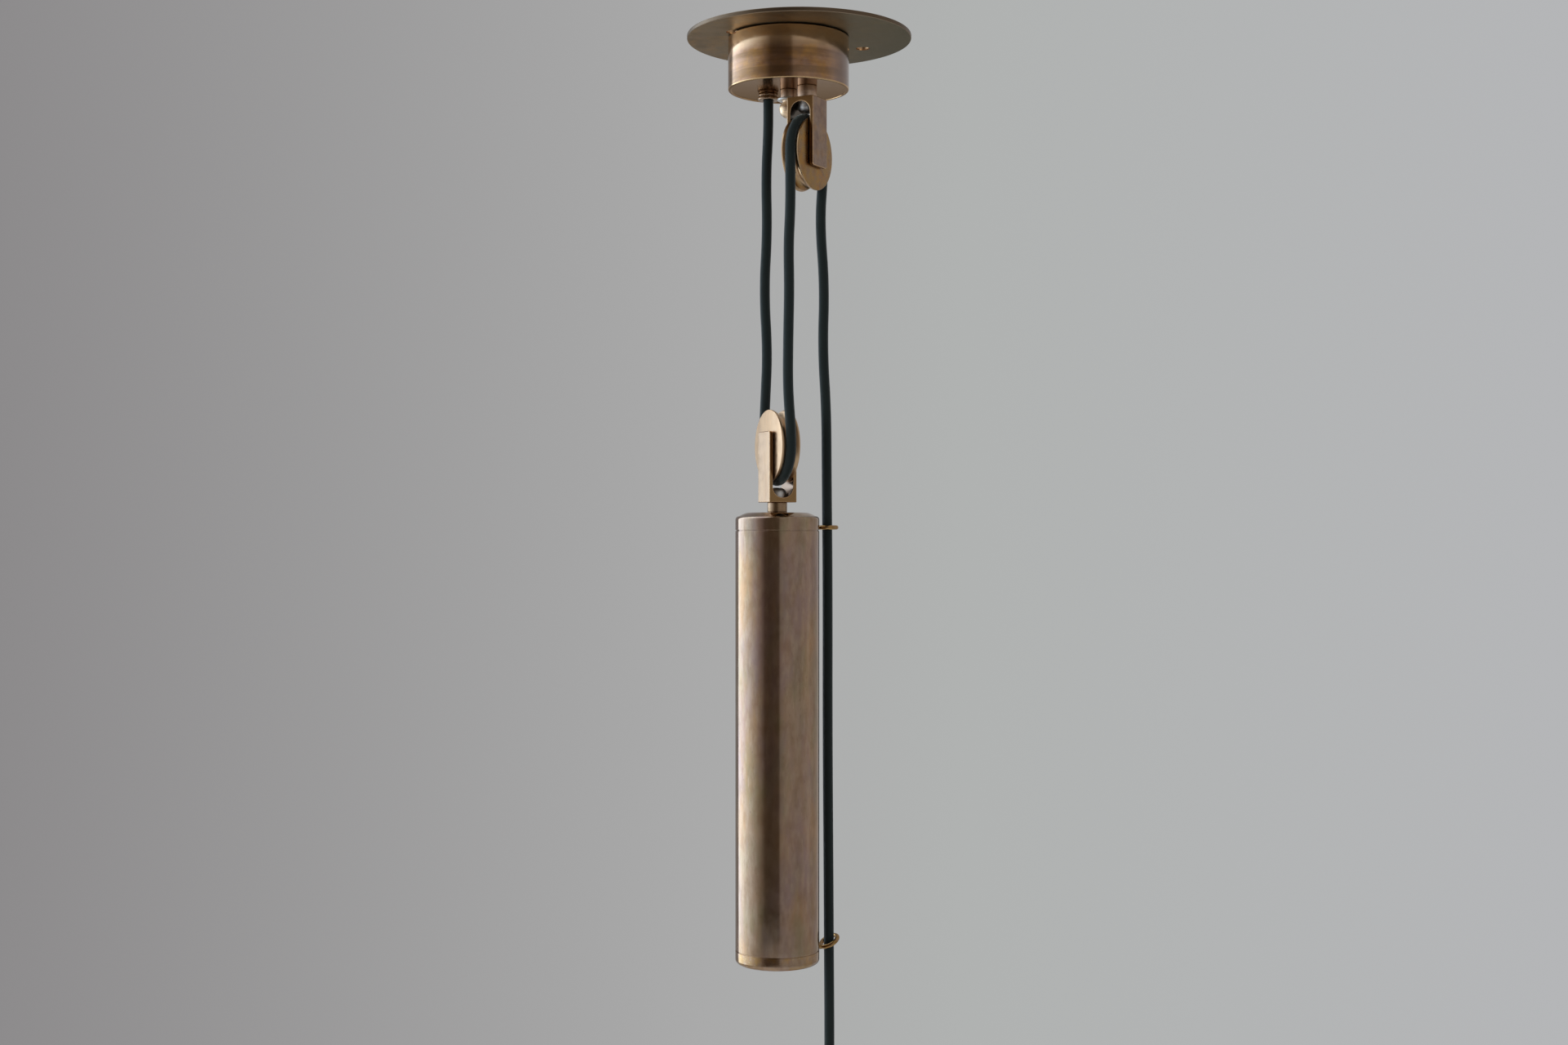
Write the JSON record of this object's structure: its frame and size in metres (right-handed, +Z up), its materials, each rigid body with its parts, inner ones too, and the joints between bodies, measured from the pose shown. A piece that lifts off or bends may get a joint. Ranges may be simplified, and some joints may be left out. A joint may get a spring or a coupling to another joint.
{
  "type": "adjustable pendant light",
  "caption": "Counterweighted rise-and-fall pendant suspension: ceiling plate, wiring cup, forked pulleys, cylindrical weight with guide eyes, and a lampholder on one textile cord.",
  "frame": {"origin": "centre of the ceiling plate's top face, which lies against the ceiling", "axes": "+Z up, square to the ceiling; the light hangs along -Z, and the picture looks along +Y with +X right"},
  "size_m": [0.135, 0.135, 0.692],
  "materials": {
    "satin_brass": "satin, aged",
    "aged_bronze": "satin, darkened",
    "polished_brass": "polished",
    "steel": "bright zinc plated",
    "iron_ballast": "turned bar",
    "black_rubber": "moulded",
    "terminal_plastic": "moulded",
    "glazed_ceramic": "glazed ceramic",
    "textile_cord": "braided over rubber",
    "lead_sheath": "insulated wire"
  },
  "bodies": {
    "canopy": {"ceiling_plate": "satin_brass", "entry_grommet": "black_rubber", "canopy_stud": "steel", "stud_locknut": "steel", "canopy_cup": "satin_brass", "stud_collar": "satin_brass", "stud_washer": "steel", "ball_nut": "polished_brass", "cord_gland": "polished_brass", "gland_nut": "steel", "cord_stop": "polished_brass", "cord_stop_screw": "steel", "cord_tail": "textile_cord", "terminal_block": "terminal_plastic", "terminal_screws": "steel", "block_screw": "steel", "earth_screw": "steel", "cord_leads": "lead_sheath", "upper_stem": "satin_brass", "upper_fork": "aged_bronze", "upper_fork_screw": "steel", "upper_fork_nut": "steel", "upper_axle": "steel", "upper_thrust_washers": "steel", "cord_fixed_run": "textile_cord", "cord_middle_run": "textile_cord", "cord_upper_bend": "textile_cord"},
    "upper_pulley": {"upper_pulley_wheel": "aged_bronze", "upper_pulley_bush": "aged_bronze"},
    "counterweight": {"lower_stem": "satin_brass", "lower_fork": "aged_bronze", "lower_fork_screw": "steel", "lower_axle": "steel", "lower_thrust_washers": "steel", "weight_top_cap": "satin_brass", "weight_tube": "satin_brass", "weight_bottom_cap": "satin_brass", "weight_core": "iron_ballast", "tie_rod": "steel", "tie_rod_washer": "steel", "tie_rod_nut": "steel", "upper_cord_eye": "polished_brass", "lower_cord_eye": "polished_brass", "cord_lower_bend": "textile_cord"},
    "lower_pulley": {"lower_pulley_wheel": "aged_bronze", "lower_pulley_bush": "aged_bronze"},
    "lamp": {"holder_cord_grip": "satin_brass", "grip_screw": "steel", "holder_cap": "satin_brass", "holder_shell": "satin_brass", "holder_insert": "glazed_ceramic", "socket_sleeve": "polished_brass", "centre_contact": "polished_brass", "holder_terminals": "steel", "holder_leads": "lead_sheath", "shade_ring": "satin_brass", "cord_lamp_run": "textile_cord", "cord_lamp_end": "textile_cord"}
  },
  "joints": [
    {"name": "counterweight_slide", "type": "slide", "parent": "canopy", "child": "counterweight", "axis": [0, 0, 1], "range_m": [-0.02, 0.09], "deforming": ["cord_fixed_run", "cord_middle_run"]},
    {"name": "lamp_slide", "type": "slide", "parent": "canopy", "child": "lamp", "axis": [0, 0, 1], "range_m": [-0.18, 0.04], "deforming": ["cord_lamp_run"]},
    {"name": "upper_pulley_spin", "type": "hinge", "parent": "canopy", "child": "upper_pulley", "pos_m": [0.00457, -0.01681, -0.0744], "axis": [0.8771, -0.4802, 0], "range_deg": [-497, 111]},
    {"name": "lower_pulley_spin", "type": "hinge", "parent": "counterweight", "child": "lower_pulley", "pos_m": [-0.0131, -0.014, -0.2475], "axis": [-0.9205, -0.3907, 0], "range_deg": [-56, 249]}
  ],
  "couplings": [
    {"joint": "lamp_slide", "follows": "counterweight_slide", "ratio": -2},
    {"joint": "upper_pulley_spin", "follows": "counterweight_slide", "rad_per_m": -96.154},
    {"joint": "lower_pulley_spin", "follows": "counterweight_slide", "rad_per_m": 48.077}
  ]
}
